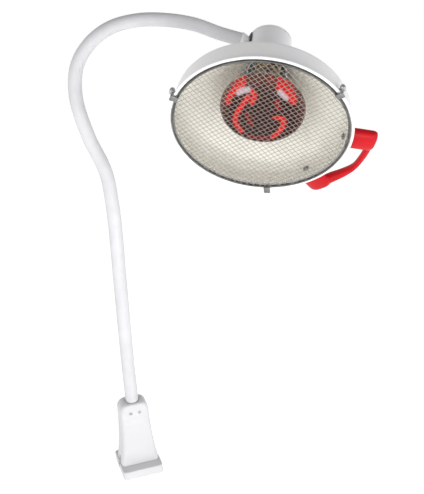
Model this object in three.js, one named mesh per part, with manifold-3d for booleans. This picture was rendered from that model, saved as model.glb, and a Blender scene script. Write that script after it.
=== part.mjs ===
// Infrared heat lamp on a flexible arm with a screw-down base.
// Millimetres, +Z up. The origin is the centre of the foot's underside,
// with +X to the foot's right and +Y to its back.

import * as THREE from 'three';
import { mergeVertices } from 'three/addons/utils/BufferGeometryUtils.js';
import Module from 'manifold-3d';

const wasm = await Module();
wasm.setup();

// ---------------------------------------------------------------- driving dimensions

const GAP = 0.3; // between pieces that touch

const FOOT = { width: 62, depth: 62, height: 15, corner: 5, bevel: 1.5 };
const HOUSING = { top: 125, front: -16, back: 21, wall: 3, topWidth: 44, floorWidth: 58 };
const FIXING = { x: 24.5, y: 2, shank: 2.5, head: 4.2, slot: 2.9 };

const BUSH = { outer: 10.4, inner: 7.3, bottom: 84, top: 125 };
const SPIGOT_RADIUS = 7.2;

const SLEEVE = { outer: 9.75, inner: 7.2 };
const CORE_RADIUS = 6.2;
const BALL_RADIUS = 4.7;
const NECK_RADIUS = 3.2;
const JOINT_GAP = 9; // between the ends of two sleeves
const ARM_START = 128;
const FIRST_BEND = 70; // along the arm, from its foot
const BEND_SPACING = 124;
const BEND_COUNT = 6;

const RING = { outer: 121.1, inner: 118.6, front: -1.8, back: 2 };
const SHADE = { radius: 121, rim: 126.2, depth: 40.4, wall: 1.6, neck: 31.5, neckHeight: 112 };
const REFLECTOR_WALL = 1;
const REAR = { radius: 30, taper: 1.1, wall: 1.8, bottom: 109, top: 168 };
const END_CAP = 4;
const BULB = {
  radius: 58.8,
  front: 13,
  widest: 35.4,
  shoulder: 19,
  glass: 1.6,
  capRadius: 13.2,
  capTop: 143,
};
const HOLDER = { radius: 19, bottom: 112, top: 147.5, bore: 14.2 };

const HEAD_POSITION = new THREE.Vector3(205.2, -65.5, 567.5);
const HEAD_TIP = -70; // degrees about X, from shining straight down
const HEAD_TURN = -24.5; // degrees about Z

const INLET = { angle: -158, height: 155.5 }; // where the arm enters the lamp's rear housing
const GASKET = { inner: 31, outer: 32, half: 9.5, bottom: 143, top: 167 };
const LATCH_ANGLES = { left: -153.6, right: -28.6, bottom: 90.5 };
const LATCH = { axis: 128.1, rod: 1.5, knob: 4, earBottom: 6.2, earTop: 8.2 };
const LUG = { half: 4.4, inner: -9.5, outer: 1.8, bottom: -4.2, top: -2.2 };
const HANDLE = {
  middle: 40.3,
  half: 21.6,
  height: 17.5,
  lean: 0.12,
  tip: 161,
  footDepth: 9,
  footWidth: 17.8,
  gripRise: 1.9,
};

// ---------------------------------------------------------------- materials

function paint(color, roughness, metalness) {
  return () => new THREE.MeshStandardMaterial({ color, roughness, metalness });
}

const whitePaint = paint(0xeeeef0, 0.45, 0.1);
const whiteSleeve = paint(0xf0f0f1, 0.6, 0);
const redPlastic = paint(0xd9101a, 0.4, 0);
const steel = paint(0x8d9093, 0.35, 0.9);
const aluminium = paint(0xd8d4c8, 0.4, 0.8);
const brass = paint(0xb9964f, 0.35, 0.9);
const ceramic = paint(0xe6e1d6, 0.6, 0);
const blackPlastic = paint(0x26272a, 0.6, 0);
const rubyGlass = paint(0x3c0507, 0.1, 0);
const clearGlass = paint(0xc9d6d6, 0.1, 0);
const copperWire = paint(0x9a6a3c, 0.5, 0.3);

// ---------------------------------------------------------------- solids

function radians(degrees) {
  return THREE.MathUtils.degToRad(degrees);
}

// Positions only, with shared points merged and faces without area left out.
function weld(geometry) {
  const bare = new THREE.BufferGeometry();
  bare.setAttribute('position', geometry.getAttribute('position').clone());
  if (geometry.index) bare.setIndex(geometry.index.clone());
  const merged = mergeVertices(bare, 1e-4);
  const corners = merged.index.array;
  const kept = [];
  for (let i = 0; i < corners.length; i += 3) {
    const [a, b, c] = [corners[i], corners[i + 1], corners[i + 2]];
    if (a !== b && b !== c && c !== a) kept.push(a, b, c);
  }
  merged.setIndex(kept);
  return merged;
}

function signedVolume(geometry) {
  const position = geometry.getAttribute('position');
  const corners = geometry.index.array;
  const [a, b, c] = [new THREE.Vector3(), new THREE.Vector3(), new THREE.Vector3()];
  let volume = 0;
  for (let i = 0; i < corners.length; i += 3) {
    a.fromBufferAttribute(position, corners[i]);
    b.fromBufferAttribute(position, corners[i + 1]);
    c.fromBufferAttribute(position, corners[i + 2]);
    volume += a.dot(b.cross(c)) / 6;
  }
  return volume;
}

// A closed geometry with its faces pointing out, whichever way its outline ran.
function outward(geometry) {
  const welded = weld(geometry);
  if (signedVolume(welded) < 0) {
    const corners = welded.index.array;
    for (let i = 0; i < corners.length; i += 3) {
      [corners[i], corners[i + 1]] = [corners[i + 1], corners[i]];
    }
  }
  return welded;
}

function toManifold(geometry) {
  const closed = outward(geometry);
  const vertProperties = Float32Array.from(closed.getAttribute('position').array);
  const triVerts = Uint32Array.from(closed.index.array);
  return new wasm.Manifold(new wasm.Mesh({ numProp: 3, vertProperties, triVerts }));
}

function toGeometry(manifold) {
  const mesh = manifold.getMesh();
  const geometry = new THREE.BufferGeometry();
  geometry.setAttribute('position', new THREE.BufferAttribute(Float32Array.from(mesh.vertProperties), 3));
  geometry.setIndex(Array.from(mesh.triVerts));
  return geometry;
}

function join(...geometries) {
  return toGeometry(geometries.map(toManifold).reduce((whole, next) => whole.add(next)));
}

function cut(geometry, ...tools) {
  return toGeometry(tools.map(toManifold).reduce((rest, tool) => rest.subtract(tool), toManifold(geometry)));
}

function common(first, second) {
  return toGeometry(toManifold(first).intersect(toManifold(second)));
}

// A body of revolution about +Z. The profile is a list of [radius, height].
function turned(profile, sides = 32) {
  const points = profile.map(([radius, height]) => new THREE.Vector2(radius, height));
  return new THREE.LatheGeometry(points, sides).rotateX(Math.PI / 2);
}

// The same, for a profile that closes on itself and leaves a hole on the axis.
function turnedRing(profile, sides = 32) {
  return turned([...profile, profile[0]], sides);
}

function rod(radius, bottom, top, sides = 16) {
  return turned([[0, bottom], [radius, bottom], [radius, top], [0, top]], sides);
}

function tube(outer, inner, bottom, top, sides = 24) {
  return turnedRing([[outer, bottom], [outer, top], [inner, top], [inner, bottom]], sides);
}

function box(x0, x1, y0, y1, z0, z1) {
  const geometry = new THREE.BoxGeometry(x1 - x0, y1 - y0, z1 - z0);
  return geometry.translate((x0 + x1) / 2, (y0 + y1) / 2, (z0 + z1) / 2);
}

// Points of a smooth line through the given [radius, height] stations.
function smooth(stations, count) {
  const curve = new THREE.SplineCurve(stations.map(([x, y]) => new THREE.Vector2(x, y)));
  return curve.getPoints(count).map((point) => [point.x, point.y]);
}

// A rod or tube along part of a curve, between two distances from its start.
class Stretch extends THREE.Curve {
  constructor(curve, from, to) {
    super();
    this.curve = curve;
    this.from = from / curve.getLength();
    this.to = to / curve.getLength();
  }

  getPoint(t, target = new THREE.Vector3()) {
    return this.curve.getPointAt(THREE.MathUtils.lerp(this.from, this.to, t), target);
  }
}

function swept(path, steps, outer, inner = 0, sides = 16) {
  const section = new THREE.Shape();
  section.absarc(0, 0, outer, 0, 2 * Math.PI);
  if (inner > 0) {
    const bore = new THREE.Path();
    bore.absarc(0, 0, inner, 0, 2 * Math.PI, true);
    section.holes.push(bore);
  }
  // A full circle gets two points for each curve segment.
  return new THREE.ExtrudeGeometry(section, { steps, extrudePath: path, curveSegments: sides / 2 });
}

function mesh(name, geometry, material) {
  const node = new THREE.Mesh(outward(geometry), material());
  node.name = name;
  return node;
}

function group(...nodes) {
  const holder = new THREE.Group();
  holder.add(...nodes);
  return holder;
}

// ---------------------------------------------------------------- base

function roundedRectangle(width, depth, corner) {
  const [x, y] = [width / 2, depth / 2];
  const outline = new THREE.Shape();
  outline.moveTo(-x + corner, -y);
  outline.lineTo(x - corner, -y);
  outline.absarc(x - corner, -y + corner, corner, -Math.PI / 2, 0);
  outline.absarc(x - corner, y - corner, corner, 0, Math.PI / 2);
  outline.absarc(-x + corner, y - corner, corner, Math.PI / 2, Math.PI);
  outline.absarc(-x + corner, -y + corner, corner, Math.PI, 1.5 * Math.PI);
  return outline;
}

// A slot for a fixing screw, open to the side of the foot, with a wider seat for the head.
function fixingSlot(side) {
  const outerX = side * (FOOT.width / 2 + 1);
  const innerX = side * FIXING.x;
  const [x0, x1] = [Math.min(innerX, outerX), Math.max(innerX, outerX)];
  const narrow = box(x0, x1, FIXING.y - FIXING.slot, FIXING.y + FIXING.slot, -1, FOOT.height + 1);
  const seat = box(x0, x1, FIXING.y - 5, FIXING.y + 5, 7, FOOT.height + 1);
  const round = rod(FIXING.slot, -1, FOOT.height + 1).translate(innerX, FIXING.y, 0);
  const roundSeat = rod(5, 7, FOOT.height + 1, 20).translate(innerX, FIXING.y, 0);
  return [narrow, seat, round, roundSeat];
}

function baseFoot() {
  const inset = FOOT.bevel;
  const outline = roundedRectangle(FOOT.width - 2 * inset, FOOT.depth - 2 * inset, FOOT.corner - inset);
  const plate = new THREE.ExtrudeGeometry(outline, {
    depth: FOOT.height - 2 * inset,
    bevelSize: inset,
    bevelThickness: inset,
    bevelSegments: 2,
    curveSegments: 4,
  });
  plate.translate(0, 0, inset);
  const flatUnderside = box(-40, 40, -40, 40, 0, FOOT.height);
  const slots = [...fixingSlot(-1), ...fixingSlot(1)];
  return cut(common(plate, flatUnderside), ...slots);
}

// Front view of the housing: sides that flare to the foot, under a rounded top.
function housingFrontOutline(offset) {
  const [topX, floorX] = [HOUSING.topWidth / 2 - offset, HOUSING.floorWidth / 2 - offset];
  const floor = FOOT.height + GAP;
  const top = HOUSING.top - offset;
  const shoulder = 15;
  const outline = new THREE.Shape();
  outline.moveTo(-floorX, floor);
  outline.lineTo(floorX, floor);
  outline.quadraticCurveTo(topX + 2.5, floor + 30, topX, top - shoulder);
  outline.quadraticCurveTo(topX - 1, top, topX - 11, top);
  outline.lineTo(-topX + 11, top);
  outline.quadraticCurveTo(-topX + 1, top, -topX, top - shoulder);
  outline.quadraticCurveTo(-topX - 2.5, floor + 30, -floorX, floor);
  return outline;
}

// Side view: an upright front panel, a sloping ledge above it, then the neck set back.
function housingSideOutline() {
  const outline = new THREE.Shape();
  const [front, back, floor] = [HOUSING.front, HOUSING.back, FOOT.height + GAP];
  outline.moveTo(front, floor);
  outline.lineTo(back, floor);
  outline.lineTo(back - 4, HOUSING.top - 12);
  outline.quadraticCurveTo(back - 4.5, HOUSING.top, back - 12, HOUSING.top);
  outline.lineTo(front + 6, HOUSING.top);
  outline.lineTo(front + 2.5, HOUSING.top - 3);
  outline.lineTo(front + 2.5, 98);
  outline.lineTo(front, 88);
  return outline;
}

// An X-Z outline pushed along Y, and a Y-Z outline pushed along X.
function alongY(outline, y0, y1) {
  const shape = new THREE.ExtrudeGeometry(outline, { depth: y1 - y0, bevelEnabled: false, curveSegments: 6 });
  return shape.rotateX(Math.PI / 2).translate(0, y1, 0);
}

function alongX(outline, x0, x1) {
  const shape = new THREE.ExtrudeGeometry(outline, { depth: x1 - x0, bevelEnabled: false, curveSegments: 6 });
  return shape.rotateX(Math.PI / 2).rotateZ(Math.PI / 2).translate(x0, 0, 0);
}

const SET_SCREW = { x: 6.8, z: 109, radius: 2.2 };

function alongFrontToBack(radius, x, z, y0, y1, sides = 12) {
  return rod(radius, -y1, -y0, sides).rotateX(Math.PI / 2).translate(x, 0, z);
}

function baseHousing() {
  const outside = common(
    alongY(housingFrontOutline(0), HOUSING.front - 1, HOUSING.back + 1),
    alongX(housingSideOutline(), -40, 40),
  );
  const wall = HOUSING.wall;
  const hollow = common(
    alongY(housingFrontOutline(wall), HOUSING.front + wall, HOUSING.back - wall - 3),
    box(-40, 40, -40, 40, 0, 80),
  );
  const openFloor = box(-26, 26, HOUSING.front + wall, HOUSING.back - wall - 3, 10, 18);
  const bore = rod(BUSH.outer + GAP, 70, HOUSING.top + 1, 24);
  const screwHoles = [-1, 1].map((side) =>
    alongFrontToBack(SET_SCREW.radius + GAP, side * SET_SCREW.x, SET_SCREW.z, -20, -6));
  const glandHole = alongFrontToBack(5.3, 0, 34, 10, 30, 16);
  const scoops = [-1, 1].map((side) => rod(5.2, 10, 27, 20).translate(side * 27, FIXING.y, 0));
  return cut(outside, hollow, openFloor, bore, ...screwHoles, glandHole, ...scoops);
}

function armBush() {
  return tube(BUSH.outer, BUSH.inner, BUSH.bottom, BUSH.top);
}

function setScrew(side) {
  const body = alongFrontToBack(SET_SCREW.radius, side * SET_SCREW.x, SET_SCREW.z, -14.2, -9.8);
  const socket = new THREE.CylinderGeometry(1.2, 1.2, 3, 6).translate(side * SET_SCREW.x, -14, SET_SCREW.z);
  return cut(body, socket);
}

function fixingScrew(side) {
  const x = side * FIXING.x;
  const profile = [
    [0, 0.4],
    [FIXING.shank, 0.4],
    [FIXING.shank, 7.3],
    [FIXING.head, 7.3],
    [FIXING.head, 9.6],
    [FIXING.head - 1.2, 10.6],
    [0, 10.6],
  ];
  const cross = [box(-2.2, 2.2, -0.5, 0.5, 9, 12), box(-0.5, 0.5, -2.2, 2.2, 9, 12)];
  return cut(turned(profile, 16), ...cross).translate(x, FIXING.y, 0);
}

function cordGland() {
  const profile = [
    [5, 0],
    [5, 5],
    [7.5, 5],
    [7.5, 9],
    [4.6, 17],
    [3.4, 17],
    [3.4, 0],
  ];
  return turnedRing(profile, 16).rotateX(-Math.PI / 2).translate(0, HOUSING.back - 5, 34);
}

const base = group(
  mesh('base_foot', baseFoot(), whitePaint),
  mesh('base_housing', baseHousing(), whitePaint),
  mesh('arm_bush', armBush(), brass),
  mesh('set_screw_left', setScrew(-1), steel),
  mesh('set_screw_right', setScrew(1), steel),
  mesh('fixing_screw_left', fixingScrew(-1), steel),
  mesh('fixing_screw_right', fixingScrew(1), steel),
  mesh('cord_gland', cordGland(), blackPlastic),
);

// ---------------------------------------------------------------- lamp head frame
// In the head's own frame the origin is the middle of the grille ring, +Z runs back along
// the lamp's axis, and angles are measured from +X towards +Y.

const headPose = new THREE.Matrix4().makeRotationZ(radians(HEAD_TURN));
headPose.multiply(new THREE.Matrix4().makeRotationX(radians(HEAD_TIP)));
headPose.setPosition(HEAD_POSITION);

function headPoint(radius, angle, height) {
  const [x, y] = [radius * Math.cos(radians(angle)), radius * Math.sin(radians(angle))];
  return new THREE.Vector3(x, y, height).applyMatrix4(headPose);
}

// ---------------------------------------------------------------- flexible arm

const FERRULE = { outer: 10.6, narrow: 7.2, start: 32.4, end: 44 };

const armLine = new THREE.CatmullRomCurve3(
  [
    new THREE.Vector3(0, 0, ARM_START),
    new THREE.Vector3(0, 0, 190),
    new THREE.Vector3(2, 0, 316),
    new THREE.Vector3(5, 6, 450),
    new THREE.Vector3(3, 19, 501),
    new THREE.Vector3(-12, 39, 551),
    new THREE.Vector3(-19, 60, 602),
    new THREE.Vector3(-10, 74, 641),
    new THREE.Vector3(13, 81, 668),
    new THREE.Vector3(44, 86, 683),
    new THREE.Vector3(82, 89, 686),
    new THREE.Vector3(121, 91, 679.5),
    new THREE.Vector3(163, 92, 665.5),
    headPoint(72, INLET.angle, INLET.height),
    headPoint(FERRULE.end, INLET.angle, INLET.height),
  ],
  false,
  'centripetal',
);
armLine.arcLengthDivisions = 1200;
const armLength = armLine.getLength();

const bends = Array.from({ length: BEND_COUNT }, (_, i) => FIRST_BEND + i * BEND_SPACING);
const stations = [0, ...bends, armLength];

// Moves a piece built about +Z so that its origin sits on the arm and +Z runs along it.
function placedOnArm(geometry, distance) {
  const u = distance / armLength;
  const turn = new THREE.Quaternion().setFromUnitVectors(new THREE.Vector3(0, 0, 1), armLine.getTangentAt(u));
  const at = armLine.getPointAt(u);
  return geometry.applyQuaternion(turn).translate(at.x, at.y, at.z);
}

// More steps where the stretch is more curved.
function stepsFor(from, to) {
  const start = armLine.getTangentAt(from / armLength);
  const middle = armLine.getTangentAt((from + to) / 2 / armLength);
  const end = armLine.getTangentAt(to / armLength);
  const turn = start.angleTo(middle) + middle.angleTo(end);
  return Math.max(2, Math.ceil(turn / radians(11)));
}

function gooseneckSleeve(index) {
  const from = stations[index] + (index === 0 ? 0 : JOINT_GAP / 2);
  const to = stations[index + 1] - (index === BEND_COUNT ? GAP : JOINT_GAP / 2);
  return swept(new Stretch(armLine, from, to), stepsFor(from, to), SLEEVE.outer, SLEEVE.inner, 12);
}

// The steel hose between two bends: a ball on its lower end, a cup on its upper end.
function gooseneckCore(index) {
  const first = index === 0;
  const last = index === BEND_COUNT;
  const from = stations[index] + (first ? GAP : 9);
  const to = stations[index + 1] - (last ? GAP : 8);
  const pieces = [swept(new Stretch(armLine, from, to), stepsFor(from, to), CORE_RADIUS, 0, 8)];
  if (!first) {
    const ball = new THREE.SphereGeometry(BALL_RADIUS, 8, 5);
    pieces.push(placedOnArm(join(ball, rod(NECK_RADIUS, 1, 10, 8)), stations[index]));
  }
  if (!last) {
    const socket = new THREE.SphereGeometry(BALL_RADIUS + 0.5, 8, 6);
    pieces.push(placedOnArm(cut(rod(CORE_RADIUS, -9, -0.5, 8), socket), stations[index + 1]));
  }
  return join(...pieces);
}

function armSpigot() {
  return turned(
    [
      [0, 72],
      [SPIGOT_RADIUS - 1.5, 72],
      [SPIGOT_RADIUS - 0.1, 76],
      [SPIGOT_RADIUS - 0.1, ARM_START - 0.2],
      [0, ARM_START - 0.2],
    ],
    24,
  );
}

function spigotCollar() {
  return tube(BUSH.outer - 0.4, SPIGOT_RADIUS + 0.2, 77, BUSH.bottom - 0.5);
}

// The end fitting on the arm: a collar outside the lamp housing and a hollow threaded stub in it.
function intoHead(geometry) {
  const turn = new THREE.Matrix4().makeRotationZ(radians(INLET.angle));
  turn.multiply(new THREE.Matrix4().makeRotationY(Math.PI / 2));
  turn.setPosition(0, 0, INLET.height);
  return geometry.applyMatrix4(turn).applyMatrix4(headPose);
}

function armFerrule() {
  const profile = [
    [FERRULE.narrow, FERRULE.start],
    [FERRULE.outer, FERRULE.end - 3],
    [FERRULE.outer, FERRULE.end - 1],
    [FERRULE.outer - 1, FERRULE.end],
    [3.5, FERRULE.end],
    [3.5, 20.5],
    [5.8, 20.5],
    [5.8, FERRULE.start],
  ];
  return intoHead(turnedRing(profile, 20));
}

function lockNut() {
  const outline = new THREE.Shape();
  for (let i = 0; i < 6; i += 1) {
    const angle = radians(60 * i);
    const step = i === 0 ? 'moveTo' : 'lineTo';
    outline[step](7.6 * Math.cos(angle), 7.6 * Math.sin(angle));
  }
  const hole = new THREE.Path();
  hole.absarc(0, 0, 6.1, 0, 2 * Math.PI, true);
  outline.holes.push(hole);
  const nut = new THREE.ExtrudeGeometry(outline, { depth: 3, bevelEnabled: false, curveSegments: 16 });
  return intoHead(nut.translate(0, 0, 22.5));
}

const arm = group(
  mesh('arm_spigot', armSpigot(), steel),
  mesh('spigot_collar', spigotCollar(), steel),
  mesh('arm_ferrule', armFerrule(), whitePaint),
  mesh('lock_nut', lockNut(), steel),
);
for (let i = 0; i <= BEND_COUNT; i += 1) {
  arm.add(mesh(`gooseneck_core_${i + 1}`, gooseneckCore(i), steel));
  arm.add(mesh(`gooseneck_sleeve_${i + 1}`, gooseneckSleeve(i), whiteSleeve));
}

// ---------------------------------------------------------------- lamp head shells

// A thin shell from an outer line, from its mouth to its neck, thickened inwards.
function shellOf(line, wall, sides) {
  const inner = line.map(([radius, height], i) => {
    const before = line[Math.max(i - 1, 0)];
    const after = line[Math.min(i + 1, line.length - 1)];
    const [dr, dh] = [after[0] - before[0], after[1] - before[1]];
    const length = Math.hypot(dr, dh);
    return [radius - (wall * dh) / length, height + (wall * dr) / length];
  });
  return turnedRing([...line, ...inner.reverse()], sides);
}

function shade() {
  const corner = 8;
  const { radius, rim, depth, neck, neckHeight } = SHADE;
  const line = [
    [RING.outer + 0.4, 0.2],
    [rim - 0.9, -0.2],
    [rim, 1.6],
    [rim - 0.6, 4],
    [radius, 5.9],
    [radius - 0.6, depth - corner],
    [radius - corner, depth + 4],
    [73, 78.4],
    [neck + 6, neckHeight - 5],
    [neck, neckHeight],
  ];
  const shell = shellOf(line, SHADE.wall, 36);
  const screws = [-1, 1].map((side) => handleHole(side, 2.6, 100, 130));
  return cut(shell, ...screws);
}

function reflector() {
  const wall = smooth([[116.8, 26], [110, 38], [86, 58], [60, 77], [41, 91], [34, 98]], 6);
  const shell = shellOf([[117.4, 4], ...wall], REFLECTOR_WALL, 32);
  const screws = [-1, 1].map((side) => handleHole(side, 2.6, 100, 130));
  return cut(shell, ...screws);
}

function rearHousing() {
  const { radius, taper, wall, bottom, top } = REAR;
  const flange = SHADE.neck - 1.6 - GAP;
  const profile = [
    [flange - 1.2, bottom - 6],
    [flange - 1.2, bottom + 4],
    [radius + taper, bottom + 4],
    [radius, top],
    [radius - wall, top],
    [radius + taper - wall, bottom + 2],
    [flange - 3, bottom + 2],
    [flange - 3, bottom - 6],
  ];
  const inlet = rod(6.1, 10, 40).applyMatrix4(
    new THREE.Matrix4()
      .makeTranslation(0, 0, INLET.height)
      .multiply(new THREE.Matrix4().makeRotationZ(radians(INLET.angle)))
      .multiply(new THREE.Matrix4().makeRotationY(Math.PI / 2)),
  );
  return cut(turnedRing(profile, 32), inlet);
}

// A curved pad on the housing, between it and the arm's collar.
function inletGasket() {
  const { inner, outer, half, bottom, top } = GASKET;
  const sheet = turnedRing([[outer, bottom], [outer, top], [inner, top], [inner, bottom]], 48);
  const pad = box(20, 40, -half, half, bottom - 1, top + 1);
  const hole = rod(6.3, 10, 40).rotateY(Math.PI / 2).translate(0, 0, INLET.height);
  return cut(common(sheet, pad), hole).rotateZ(radians(INLET.angle));
}

function endCap() {
  const bottom = REAR.top + GAP;
  const profile = [
    [0, bottom],
    [REAR.radius, bottom],
    [REAR.radius, bottom + 2],
    [REAR.radius - 1.2, bottom + END_CAP - GAP],
    [0, bottom + END_CAP - GAP],
  ];
  const vents = [-2, -1, 0, 1, 2].map((i) => {
    const half = i === 0 ? 17 : 17 - 2.4 * Math.abs(i);
    return box(-half, half, 7 * i - 1.2, 7 * i + 1.2, bottom - 1, bottom + 6);
  });
  return cut(turned(profile, 32), ...vents);
}

// ---------------------------------------------------------------- grille and its turn latches

function grilleRing() {
  const { outer, inner, front, back } = RING;
  const profile = [
    [outer - 1, front],
    [outer, front + 1.2],
    [outer, back - 1],
    [outer - 1, back],
    [inner, back],
    [inner, front + 1],
    [inner + 1, front],
  ];
  return turnedRing(profile, 36);
}

function grilleMesh() {
  return rod(RING.inner - GAP, -1, 0.2, 36);
}

function atLatch(geometry, angle) {
  return geometry.translate(LATCH.axis, 0, 0).rotateZ(radians(angle));
}

// An ear on the shade's wall, with the bore that the latch's rod turns in.
function latchBoss(angle) {
  const { axis, knob, earBottom, earTop } = LATCH;
  const block = box(SHADE.radius + 1 - axis, knob, -knob, knob, earBottom, earTop);
  return atLatch(cut(block, rod(LATCH.rod + 0.1, 0, 20, 24)), angle);
}

// A round-ended knob behind the ear, and a lug that reaches over the ring in front of it.
function latchKnob(angle) {
  const { knob, earTop } = LATCH;
  const bottom = earTop + GAP;
  const foot = LUG.top + GAP;
  const profile = [
    [0, foot],
    [LATCH.rod, foot],
    [LATCH.rod, bottom],
    [knob, bottom],
    [knob, bottom + 3.2],
    [knob * 0.85, bottom + 5.4],
    [knob * 0.5, bottom + 7],
    [0, bottom + 7.5],
  ];
  return atLatch(turned(profile, 16), angle);
}

function latchLug(angle) {
  const { half, inner, outer, bottom, top } = LUG;
  return atLatch(box(inner, outer, -half, half, bottom, top), angle);
}

// ---------------------------------------------------------------- bow handle

function atHandle(geometry, side) {
  return geometry.rotateZ(radians(HANDLE.middle + side * HANDLE.half));
}

function handleHole(side, radius, from, to) {
  return atHandle(rod(radius, from, to, 12).rotateY(Math.PI / 2).translate(0, 0, HANDLE.height), side);
}

// The handle leans back as it goes out, square to the shade's tapering wall.
function leaned(geometry) {
  const position = geometry.getAttribute('position');
  for (let i = 0; i < position.count; i += 1) {
    const out = Math.hypot(position.getX(i), position.getY(i)) - SHADE.radius;
    position.setZ(i, position.getZ(i) + HANDLE.lean * out);
  }
  return geometry;
}

// A foot is an oval column that stands on the shade's wall.
function handleFoot(side) {
  const { tip, footDepth, footWidth, height } = HANDLE;
  const column = turned(
    [
      [0, SHADE.radius - 4],
      [1, SHADE.radius - 4],
      [1, 138],
      [1, tip - 9],
      [0.93, tip - 4],
      [0.6, tip - 0.6],
      [0, tip],
    ],
    20,
  );
  return atHandle(column.scale(footDepth, footWidth, 1).rotateY(Math.PI / 2).translate(0, 0, height), side);
}

// The grip between the feet: its angle, the radius of its middle, and half its section's
// thickness (outwards) and height. It thickens towards the lower foot.
const GRIP = [
  [22, 154.6, 5.2, 6.6],
  [34, 157.7, 4.7, 6.4],
  [41, 159.2, 4.5, 6.8],
  [47, 157, 5.8, 7.6],
  [54, 153.8, 7.2, 8.6],
  [60, 153, 7.8, 8.8],
];
const GRIP_SIDES = 10;

function handleGrip() {
  const points = [];
  for (const [angle, radius, thickness, height] of GRIP) {
    for (let k = 0; k < GRIP_SIDES; k += 1) {
      const turn = (2 * Math.PI * k) / GRIP_SIDES;
      const out = radius + thickness * Math.cos(turn);
      const up = HANDLE.height + HANDLE.gripRise + height * Math.sin(turn);
      points.push(out * Math.cos(radians(angle)), out * Math.sin(radians(angle)), up);
    }
  }
  const faces = [];
  for (let low = 0; low < (GRIP.length - 1) * GRIP_SIDES; low += GRIP_SIDES) {
    for (let k = 0; k < GRIP_SIDES; k += 1) {
      const next = (k + 1) % GRIP_SIDES;
      faces.push(low + k, low + next, low + GRIP_SIDES + next);
      faces.push(low + k, low + GRIP_SIDES + next, low + GRIP_SIDES + k);
    }
  }
  const last = (GRIP.length - 1) * GRIP_SIDES;
  for (let k = 1; k < GRIP_SIDES - 1; k += 1) {
    faces.push(0, k + 1, k);
    faces.push(last, last + k, last + k + 1);
  }
  const geometry = new THREE.BufferGeometry();
  geometry.setAttribute('position', new THREE.Float32BufferAttribute(points, 3));
  geometry.setIndex(faces);
  return geometry;
}

function handle() {
  const parts = [handleFoot(-1), handleGrip(), handleFoot(1)].map(leaned);
  const seat = rod(SHADE.radius + GAP, -10, 60, 36);
  const screws = [-1, 1].map((side) => handleHole(side, 2.4, 100, 137));
  return cut(join(...parts), seat, ...screws);
}

// From inside the lamp through the reflector, the shade and the handle's foot.
function handleScrew(side) {
  const profile = [
    [0, 112.6],
    [3, 112.6],
    [4.2, 113.8],
    [4.2, 115.2],
    [2, 115.2],
    [2, 135],
    [0, 135],
  ];
  return atHandle(turned(profile, 12).rotateY(Math.PI / 2).translate(0, 0, HANDLE.height), side);
}

// ---------------------------------------------------------------- infrared bulb

const BULB_BACK = [[49, 54.5], [41, 65], [32, 77], [23, 90], [16.5, 102], [14.6, 109], [14.2, 114]];

// The line round the bulb's shoulder, from its face to its back, at a distance inside the glass.
function bulbShoulder(inside) {
  const reach = BULB.shoulder - inside;
  return [15, 35, 55, 75, 90, 110, 130].map((turn) => [
    BULB.radius - BULB.shoulder + reach * Math.sin(radians(turn)),
    BULB.widest - reach * Math.cos(radians(turn)),
  ]);
}

function bulbGlass() {
  const { front, glass: wall } = BULB;
  const face = [[0, front], [16, front + 0.7], [31, front + 2.3]];
  const inner = [
    [0, front + wall],
    [31, front + 2.3 + wall],
    ...bulbShoulder(wall),
    ...BULB_BACK.map(([radius, height]) => [radius - wall, height]),
  ];
  return turned([...face, ...bulbShoulder(0), ...BULB_BACK, ...inner.reverse()], 24);
}

function bulbCap() {
  const inner = 12.2;
  const profile = [
    [17, 110.5],
    [17, 116],
    [BULB.capRadius, 118],
    [BULB.capRadius, 139],
    [8, BULB.capTop],
    [4.6, BULB.capTop],
    [4.6, BULB.capTop - 1],
    [inner, 137],
    [inner, 117.5],
    [15.9, 115.4],
    [15.9, 110.5],
  ];
  return turnedRing(profile, 24);
}

function bulbContact() {
  return turned([[0, 140], [4.2, 140], [4.2, 144], [2.5, 145.6], [0, 145.6]], 12);
}

function bulbStem() {
  return turned([[0, 92], [3.2, 92], [3.2, 108], [9, 134], [0, 134]], 12);
}

function bulbFilament() {
  const loop = new THREE.CatmullRomCurve3(
    [
      new THREE.Vector3(-1.6, 0, 91.4),
      new THREE.Vector3(-14, 0, 62),
      new THREE.Vector3(-14, 8, 58),
      new THREE.Vector3(0, 14, 57),
      new THREE.Vector3(14, 8, 58),
      new THREE.Vector3(14, 0, 62),
      new THREE.Vector3(1.6, 0, 91.4),
    ],
    false,
    'centripetal',
  );
  return swept(loop, 16, 0.7, 0, 6);
}

// ---------------------------------------------------------------- lampholder and wiring

function lampholderBody() {
  const { radius, bottom, top, bore } = HOLDER;
  const profile = [
    [radius, bottom + 6],
    [radius, top],
    [3, top],
    [3, top - 2],
    [bore + 1, top - 2],
    [bore + 1, bottom + 6],
  ];
  return turnedRing(profile, 28);
}

function lampholderShell() {
  return tube(HOLDER.bore + 0.7, HOLDER.bore - 0.5, HOLDER.bottom + 7, 140);
}

function lampholderContact() {
  return turned([[0, 145.9], [2.6, 145.9], [2.6, 150.8], [0, 150.8]], 12);
}

// A round plate over the lampholder, open at one side for the arm's end fitting.
function holderPlate() {
  const notch = box(19.5, 30, -8.6, 8.6, 140, 155).rotateZ(radians(INLET.angle));
  return cut(rod(27.6, HOLDER.top + GAP, HOLDER.top + 1.9, 32), rod(4, 140, 155, 16), notch);
}

function terminalBlock() {
  const block = box(-11, 11, -6, 6, 152, 161);
  const pockets = [-5.5, 0, 5.5].map((x) => rod(1.8, 157, 165, 12).translate(x, 0, 0));
  return cut(block, ...pockets);
}

function terminalScrews() {
  return [-5.5, 0, 5.5].map((x) => rod(1.5, 157.3, 160.4, 12).translate(x, 0, 0));
}

const WIRE_ROWS = [-2.1, 2.1];

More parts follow.
